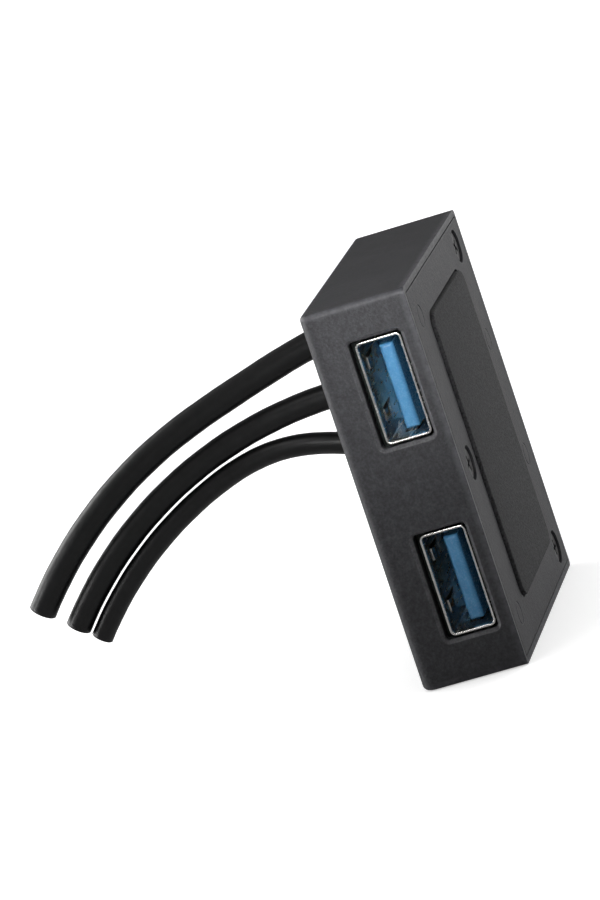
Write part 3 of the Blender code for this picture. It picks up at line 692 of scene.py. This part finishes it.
# ------------------------------------------------------------------------------------------------ Type-A ports
TH = 0.3
for n in (1, 2):
    z0 = PORT_Z[n]
    a, b = PORTS[n]
    hy, hz = (b.y - a.y) / 2, (b.z - a.z) / 2
    bm = bmesh.new()

    def rr(g, r):
        return round_rect(hy - g, hz - g, r, 6)

    rows = [(PORT_BACK, rr(0.02, 0.55)), (PORT_BACK + 0.1, rr(0, 0.57)), (PORT_FRONT - 0.75, rr(0, 0.57)), (PORT_FRONT - 0.48, rr(-0.03, 0.60)),
            (PORT_FRONT - 0.24, rr(-0.11, 0.68)), (PORT_FRONT - 0.10, rr(-0.14, 0.71)), (PORT_FRONT - 0.03, rr(-0.12, 0.69)), (PORT_FRONT, rr(-0.06, 0.63)),
            (PORT_FRONT, rr(0.03, 0.54)), (PORT_FRONT - 0.04, rr(0.10, 0.47)), (PORT_FRONT - 0.14, rr(0.16, 0.42)), (PORT_FRONT - 0.34, rr(0.24, 0.35)),
            (PORT_FRONT - 0.75, rr(TH, 0.30)), (PORT_BACK, rr(TH, 0.30))]
    loop_tube(bm, [[(x, PORT_Y + u, z0 + v) for u, v in ring] for x, ring in rows])
    shell = piece(f"port_{n}_steel_shell", bm, "hub", nickel.m, [f"port_{n}_shell"], smooth=40)
    # windows round the latch fingers, in both broad walls and both narrow walls
    bm = bmesh.new()
    for dz in (-3.45, 3.45):
        for side in (-1, 1):
            y = PORT_Y + side * hy
            add_box(bm, (PORT_FRONT - 8.4, y - 0.6, z0 + dz - 1.10), (PORT_FRONT - 2.6, y + 0.6, z0 + dz + 1.10))
    for side in (-1, 1):
        z = z0 + side * hz
        add_box(bm, (PORT_FRONT - 7.6, PORT_Y - 0.95, z - 0.6), (PORT_FRONT - 3.0, PORT_Y + 0.95, z + 0.6))
    cut(shell, bm)
    shell.data.set_sharp_from_angle(angle=math.radians(40))
    # the latch fingers: sprung strips rooted at the back of each window, bowed into the mouth
    bm = bmesh.new()

    def finger(root_x, tip_x, normal, centre, width, bow):
        pts, count = [], 15
        for i in range(count):
            t = i / (count - 1)
            x = root_x + (tip_x - root_x) * t
            d = bow * (math.sin(math.pi * min(1.0, t / 0.86) * 0.5) ** 2) if t < 0.80 else bow * (1 - ((t - 0.80) / 0.2) ** 2 * 0.75)
            pts.append(Vector((x, centre[0], centre[1])) - normal * d)
        side = Vector((1, 0, 0)).cross(normal)
        rings = []
        for i, p in enumerate(pts):
            w = width * (1.0 if i < 2 else 0.94 - 0.14 * i / count)
            rings.append([p + side * w + normal * 0.13, p - side * w + normal * 0.13, p - side * w - normal * 0.13, p + side * w - normal * 0.13])
        loft(bm, rings)

    for dz in (-3.45, 3.45):
        finger(PORT_FRONT - 8.9, PORT_FRONT - 2.75, Vector((0, -1, 0)), (PORT_Y - hy + 0.15, z0 + dz), 0.95, 0.48)
        finger(PORT_FRONT - 8.9, PORT_FRONT - 2.75, Vector((0, 1, 0)), (PORT_Y + hy - 0.15, z0 + dz), 0.95, 0.30)
    finger(PORT_FRONT - 7.9, PORT_FRONT - 3.3, Vector((0, 0, -1)), (PORT_Y, z0 - hz + 0.15), 0.7, 0.22)
    finger(PORT_FRONT - 7.9, PORT_FRONT - 3.3, Vector((0, 0, 1)), (PORT_Y, z0 + hz - 0.15), 0.7, 0.22)
    piece(f"port_{n}_latch_fingers", bm, "hub", nickel.m, smooth=30)

    # blue body and tongue
    a, b = box_mm(f"port_{n}_insulator")
    tongue_y = PORT_Y + 0.65
    half_t, half_w = 0.92, 5.55
    face_y = tongue_y - half_t
    block_x = PORT_BACK + 4.6
    tip = b.x
    bm = bmesh.new()
    rings = [[(x, PORT_Y + u, z0 + v) for u, v in round_rect(2.48 - g, 6.16 - g, 0.3, 4)] for x, g in
             ((a.x, 0.1), (a.x + 0.1, 0.0), (block_x - 0.15, 0.0), (block_x, 0.15))]
    loft(bm, rings)
    body = piece(f"port_{n}_blue_body", bm, "hub", blue.m, [f"port_{n}_insulator"], smooth=30)
    bm = bmesh.new()
    rings = []
    for x, g in ((PORT_BACK + 1.0, 0.0), (tip - 0.62, 0.0), (tip - 0.40, 0.05), (tip - 0.20, 0.18), (tip - 0.06, 0.36), (tip, 0.56)):
        rings.append([(x, tongue_y + u, z0 + v) for u, v in round_rect(half_t - g, half_w - g * 0.8, 0.16, 4)])
    loft(bm, rings)
    cut(body, bm, 'UNION')
    bm = bmesh.new()
    for dz in (-4.0, -2.0, 0.0, 2.0, 4.0):
        add_box(bm, (PORT_BACK - 1.0, face_y - 0.01, z0 + dz - 0.35), (tip - 0.5, face_y + 0.26, z0 + dz + 0.35))
    cut(body, bm)
    bm = bmesh.new()
    for dz in (-3.5, -1.0, 1.0, 3.5):
        add_box(bm, (PORT_BACK - 1.0, face_y - 0.36, z0 + dz - 0.56), (block_x + 0.3, face_y + 0.03, z0 + dz + 0.56))
    cut(body, bm)
    soften(body, 0.05, 2, 40)

# ------------------------------------------------------------------------------------------------ power jack face
bm = bmesh.new()
add_box(bm, tuple(jack_lo), tuple(jack_hi))
round_edges(bm, lambda m, d: True, 0.25, 3)
jack = piece("power_jack_housing", bm, "hub", chip_mat.m, ["power_jack"])
jy, jz = (jack_lo.y + jack_hi.y) / 2, (jack_lo.z + jack_hi.z) / 2
bm = bmesh.new()
turned(bm, 'X', (jy, jz), [(2.4, jack_lo.x - 1.0), (2.2, jack_lo.x - 0.02), (1.95, jack_lo.x + 0.25), (1.9, jack_lo.x + 0.5), (1.9, jack_lo.x + 10.2)], 48)
cut(jack, bm)
jack.data.set_sharp_from_angle(angle=math.radians(35))

# ------------------------------------------------------------------------------------------------ plugs and cables
CABLE_X = -30.8
ARC_Y, ARC_Z, ARC_DEG, JOIN = -24.0, -54.0, 50.0, 24.0
LINES = {
    "host": dict(half_z=5.2, deep=6.2, r=1.9, bundle=9.9, lean=-1.2, cores=((core_red, 0.0), (core_white, 72.0), (core_green, 144.0), (core_black, 216.0), (core_blue, 288.0))),
    "power": dict(half_z=3.7, deep=7.52, r=1.75, bundle=4.6, lean=0.6, cores=((core_red, 0.0), (core_black, 180.0))),
    "device": dict(half_z=5.2, deep=6.2, r=1.5, bundle=1.1, lean=2.4, cores=((core_red, 0.0), (core_white, 90.0), (core_green, 180.0), (core_black, 270.0))),
}

for who, spec in LINES.items():
    lo, hi = box_mm(f"{who}_plug_overmould")
    zc = (lo.z + hi.z) / 2
    half_x, half_z, r, lean = (hi.x - lo.x) / 2, spec["half_z"], spec["r"], spec["lean"]
    cx = (lo.x + hi.x) / 2
    top = hi.y
    low = top - spec["deep"]
    body = f"{who}_plug"

    # plug body: soft-cornered block that turns down into a slotted strain relief
    rings = []

    def ring(y, hx, hz, power, shift=0.0):
        hz = min(hz, half_z - abs(lean) * shift)
        rings.append([(cx + (CABLE_X - cx) * shift + u, y, zc + lean * shift + v) for u, v in superellipse(hx, hz, power, 72)])

    for d, g in ((0.0, 1.0), (0.06, 0.7), (0.2, 0.42), (0.42, 0.18), (0.75, 0.04), (1.1, 0.0)):
        ring(top - d, half_x - g, half_z - g, 7)
    # three shallow finger grooves round the body
    for k in range(3):
        y = top - 2.0 - 0.95 * k
        for d, g in ((0.0, 0.0), (0.12, 0.10), (0.28, 0.16), (0.44, 0.10), (0.56, 0.0)):
            ring(y - d, half_x - g, half_z - g, 7)
    for d, g, p, s in ((1.25, 0.0, 7, 0.0), (0.8, 0.08, 7, 0.08), (0.45, 0.3, 6, 0.25), (0.2, 0.62, 5.5, 0.45), (0.05, 0.95, 5, 0.6)):
        ring(low + d, half_x - g, half_z - g, p, s)
    neck = r + 1.15
    ring(low - 0.12, half_x - 1.7, half_z - 1.35 if half_z > 4 else neck + 0.3, 3.6, 0.85)
    ring(low - 0.4, neck + 0.2, neck + 0.2, 2.2, 1.0)
    ring(low - 0.7, neck + 0.02, neck + 0.02, 2.0, 1.0)
    for k in range(4):
        y = low - 1.0 - 1.9 * k
        g = neck - 0.17 * k
        for d, q in ((0.0, 0.05), (0.08, 0.0), (0.55, 0.02), (1.02, 0.0), (1.1, 0.05), (1.18, 0.2), (1.28, 0.38), (1.5, 0.42), (1.72, 0.38), (1.82, 0.2)):
            ring(y - d, g - q - (0.17 * (d - 1.1) / 0.8 if d > 1.1 else 0.0), g - q - (0.17 * (d - 1.1) / 0.8 if d > 1.1 else 0.0), 2, 1.0)
    end = low - 1.0 - 1.9 * 4
    for d, q in ((0.0, 0.45), (0.15, 0.43), (0.42, 0.38), (0.55, 0.28), (0.6, 0.16)):
        ring(end - d, r + q, r + q, 2, 1.0)
    bm = bmesh.new()
    loft(bm, rings)
    piece(f"{who}_plug_body", bm, body, moulding.m, [f"{who}_plug_overmould"], smooth=50)

    # cable centre line, same rule as the frame's solid
    c_lo, c_hi = box_mm(f"{who}_cable")
    y0 = c_hi.y
    zn = zc + lean
    z1, big = spec["bundle"], spec["bundle"] - ARC_Z
    start = y0 - 1.5
    span = start - ARC_Y + math.radians(JOIN) * big

    def ease(gone):
        t = min(1.0, gone / span)
        return (zn - z1) * (1 - t) ** 4 * (1 + 4 * t)

    pts = [Vector((CABLE_X, y0 + 0.35, zn)), Vector((CABLE_X, y0 - 0.7, zn))]
    for i in range(20):
        y = start + (ARC_Y - start) * i / 20
        pts.append(Vector((CABLE_X, y, z1 + ease(start - y))))
    for i in range(91):
        a = math.radians(ARC_DEG * i / 90)
        rad = big + ease(start - ARC_Y + a * big)
        pts.append(Vector((CABLE_X, ARC_Y - rad * math.sin(a), ARC_Z + rad * math.cos(a))))
    # jacket with a small rounded cut edge; its end is hollow and shows the cores
    wall = 0.55
    frames = ring_frames(pts)

    def at(i, rad, back=0.0, count=40):
        t, side, up = frames[i]
        return [pts[i] - t * back + side * u + up * v for u, v in circle(rad, count)]

    last = len(pts) - 1
    rows = [at(0, r - 0.25), at(0, r - 0.02)]
    for i in range(1, last):
        k = 1.0 + 0.006 * math.sin(i * 0.55 + zc) + 0.004 * math.sin(i * 1.7 + 2 * zc)
        rows.append(at(i, r * k))
    rows += [at(last, r, 0.08), at(last, r - 0.07), at(last, r - wall + 0.05), at(last, r - wall, 0.06), at(last, r - wall, 1.1), at(last, 0.05, 1.12)]
    bm = bmesh.new()
    loft(bm, rows)
    piece(f"{who}_cable_jacket", bm, body, jacket.m, [f"{who}_cable"], smooth=50)

    # shield and cores in the cut end
    t, side, up = frames[last]
    bm = bmesh.new()
    loop_tube(bm, [[pts[last] - t * d + side * u + up * v for u, v in circle(rad, 40)] for d, rad in
                   ((0.12, r - wall - 0.04), (1.0, r - wall - 0.04), (1.0, r - wall - 0.20), (0.12, r - wall - 0.20))])
    piece(f"{who}_cable_braid", bm, body, braid.m, smooth=50)
    inner = r - wall - 0.24
    n_cores = len(spec["cores"])
    ratio = math.sin(math.pi / n_cores)
    core_r = inner * ratio / (1 + ratio) * 0.96
    for i, (mat, deg) in enumerate(spec["cores"]):
        a = math.radians(deg + 20)
        centre = pts[last] + side * math.cos(a) * (inner - core_r) + up * math.sin(a) * (inner - core_r)
        bm = bmesh.new()
        loop_tube(bm, [[centre - t * d + side * u + up * v for u, v in circle(rad, 20)] for d, rad in
                       ((0.02, core_r), (0.0, core_r - 0.05), (0.0, core_r * 0.55), (1.0, core_r * 0.55), (1.0, core_r))])
        piece(f"{who}_core_{i + 1}", bm, body, mat.m, smooth=50)
        bm = bmesh.new()
        loft(bm, [[centre - t * d + side * u + up * v for u, v in circle(rad, 14)] for d, rad in
                  ((1.0, core_r * 0.5), (-0.02, core_r * 0.5), (-0.06, core_r * 0.3))])
        piece(f"{who}_core_{i + 1}_copper", bm, body, copper.m, smooth=50)

for who in ("host", "device"):
    lo, hi = box_mm(f"{who}_plug_shell")
    yc, zc = (lo.y + hi.y) / 2, (lo.z + hi.z) / 2
    bm = bmesh.new()
    rows = []
    for x, g in ((lo.x, 0.0), (hi.x - 0.35, 0.0), (hi.x - 0.15, 0.03), (hi.x - 0.04, 0.09), (hi.x, 0.15), (hi.x, 0.20), (hi.x - 0.08, 0.25), (lo.x, 0.25)):
        rows.append([(x, yc + u, zc + v) for u, v in round_rect(1.2 - g, 4.12 - g, 1.15 - g, 10)])
    loop_tube(bm, rows)
    piece(f"{who}_plug_metal_tip", bm, f"{who}_plug", nickel.m, [f"{who}_plug_shell"], smooth=40)

lo, hi = box_mm("power_plug_barrel")
yc, zc = (lo.y + hi.y) / 2, (lo.z + hi.z) / 2
bm = bmesh.new()
rows = [[(x, yc + u, zc + v) for u, v in circle(rad, 40)] for x, rad in
        ((lo.x, 1.75), (lo.x + 1.2, 1.75), (lo.x + 1.3, 1.68), (lo.x + 1.5, 1.68), (lo.x + 1.6, 1.75), (hi.x - 0.25, 1.75), (hi.x - 0.06, 1.68), (hi.x, 1.55),
         (hi.x, 1.0), (hi.x - 0.12, 0.85), (hi.x - 0.5, 0.75), (lo.x, 0.75))]
loop_tube(bm, rows)
piece("power_plug_metal_barrel", bm, "power_plug", nickel.m, ["power_plug_barrel"], smooth=35)

# ------------------------------------------------------------------------------------------------ stage, light, camera
floor_z = -HZ * MM - 0.00005
bm = bmesh.new()
count = 96
rings = []
for rad in (0.0005, 0.4, 2.0, 12.0, 60.0):
    rings.append([(rad * math.cos(2 * math.pi * i / count), rad * math.sin(2 * math.pi * i / count), floor_z) for i in range(count)])
rows = [[bm.verts.new(p) for p in ring] for ring in rings]
bm.faces.new(rows[0])
for a, b in zip(rows, rows[1:]):
    for i in range(count):
        bm.faces.new((a[i], a[(i + 1) % count], b[(i + 1) % count], b[i]))
bmesh.ops.recalc_face_normals(bm, faces=bm.faces[:])
mesh = bpy.data.meshes.new("floor")
bm.to_mesh(mesh)
bm.free()
for p in mesh.polygons:
    if p.normal.z < 0:
        p.flip()
floor = bpy.data.objects.new("floor", mesh)
bpy.context.scene.collection.objects.link(floor)
floor_mat = Mat("pale_floor", (0.60, 0.60, 0.60), 0.85)
path = floor_mat.t.nodes.new("ShaderNodeLightPath")
near = floor_mat.t.nodes.new("ShaderNodeAmbientOcclusion")       # soft contact shadow on an otherwise white sweep
near.samples = 12
near.inputs["Distance"].default_value = 0.030
open_sky = floor_mat.math('POWER', near.outputs["AO"], 1.6)
glow = floor_mat.math('ADD', floor_mat.math('MULTIPLY', open_sky, 0.50), 0.47)
floor_mat.b.inputs["Emission Color"].default_value = (1, 1, 1, 1)
floor_mat.put(floor_mat.b.inputs["Emission Strength"], floor_mat.math('MULTIPLY', path.outputs["Is Camera Ray"], glow))
floor.data.materials.append(floor_mat.m)
floor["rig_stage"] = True

VIEW = Vector((0.958, 0.220, 0.184)).normalized()       # from the object to the camera
ROLL = math.radians(18.7)
DISTANCE = 0.74
forward = -VIEW
right0 = forward.cross(Vector((0, 0, 1))).normalized()
up0 = right0.cross(forward).normalized()
right = right0 * math.cos(ROLL) - up0 * math.sin(ROLL)
up = right0 * math.sin(ROLL) + up0 * math.cos(ROLL)

scene = bpy.context.scene
cam_data = bpy.data.cameras.new("camera")
cam = bpy.data.objects.new("camera", cam_data)
scene.collection.objects.link(cam)
scene.camera = cam
cam_data.sensor_width = 36.0
cam_data.clip_start, cam_data.clip_end = 0.02, 200.0

# frame the object: centre its outline in the 600 x 900 picture, with a margin
bpy.context.view_layer.update()
corners = []
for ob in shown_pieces():
    for v in ob.data.vertices:
        corners.append(ob.matrix_world @ v.co)
target = Vector((0, -0.015, 0))
for _ in range(6):
    eye = target + VIEW * DISTANCE
    us, vs = [], []
    for p in corners:
        d = p - eye
        depth = d.dot(forward)
        us.append(d.dot(right) / depth)
        vs.append(d.dot(up) / depth)
    mid_u, mid_v = (min(us) + max(us)) / 2, (min(vs) + max(vs)) / 2
    target = target + right * mid_u * DISTANCE + up * mid_v * DISTANCE
span = max((max(us) - min(us)) / 600.0, (max(vs) - min(vs)) / 900.0) / 0.90
cam_data.lens = 36.0 / (span * 900.0)
cam.matrix_world = Matrix((
    (right.x, up.x, VIEW.x, eye.x), (right.y, up.y, VIEW.y, eye.y), (right.z, up.z, VIEW.z, eye.z), (0, 0, 0, 1)))


def softbox(name, direction, distance, size, watts, tint=(1, 1, 1), aim=Vector((0, -0.015, 0))):
    data = bpy.data.lights.new(name, 'AREA')
    data.shape = 'RECTANGLE'
    data.size, data.size_y = size
    data.energy = watts
    data.color = tint
    ob = bpy.data.objects.new(name, data)
    scene.collection.objects.link(ob)
    d = Vector(direction).normalized()
    ob.location = aim + d * distance
    ob.rotation_mode = 'QUATERNION'
    ob.rotation_quaternion = (-d).to_track_quat('-Z', 'Y')
    ob.visible_camera = False
    return ob


TOP = Vector((0.024, -0.008, 0.022))
softbox("key_softbox", (0.95, 0.05, 0.36), 0.066, (0.034, 0.034), 0.0066, aim=TOP).data.spread = math.radians(50)
softbox("port_softbox", (1.0, -0.06, -0.05), 0.75, (0.30, 0.30), 0.19)
softbox("front_strip", (0.963, -0.20, -0.175), 0.50, (0.030, 0.11), 0.36, aim=Vector((0.023, -0.005, 0.0)))
softbox("fill_softbox", (-0.10, 1.0, 0.40), 0.9, (0.7, 0.7), 0.6)
softbox("side_strip", (0.15, -1.0, -0.16), 0.45, (0.09, 0.45), 1.9)
softbox("edge_strip", (0.42, -0.20, 0.89), 0.40, (0.06, 0.06), 0.13)
softbox("rear_softbox", (-0.5, -1.0, 0.35), 0.8, (0.5, 0.5), 3.3)
softbox("back_softbox", (-0.75, 0.72, 0.16), 0.8, (0.8, 0.6), 4.6)

# pale studio walls: full white to the camera, dimmer as a light source and darker low down
world = bpy.data.worlds.new("studio")
scene.world = world
world.use_nodes = True
wt = world.node_tree
bg = wt.nodes["Background"]
bg.inputs["Color"].default_value = (1, 1, 1, 1)
lp = wt.nodes.new("ShaderNodeLightPath")
geo = wt.nodes.new("ShaderNodeNewGeometry")
sep = wt.nodes.new("ShaderNodeSeparateXYZ")
wt.links.new(geo.outputs["Incoming"], sep.inputs[0])
height = wt.nodes.new("ShaderNodeMapRange")
wt.links.new(sep.outputs["Z"], height.inputs["Value"])
height.inputs["From Min"].default_value, height.inputs["From Max"].default_value = 0.35, -0.55
height.inputs["To Min"].default_value, height.inputs["To Max"].default_value = 0.13, 0.21
either = wt.nodes.new("ShaderNodeMix")
wt.links.new(lp.outputs["Is Camera Ray"], either.inputs["Factor"])
wt.links.new(height.outputs["Result"], either.inputs[2])
either.inputs[3].default_value = 1.0
wt.links.new(either.outputs[0], bg.inputs["Strength"])

scene.view_settings.view_transform = 'Standard'
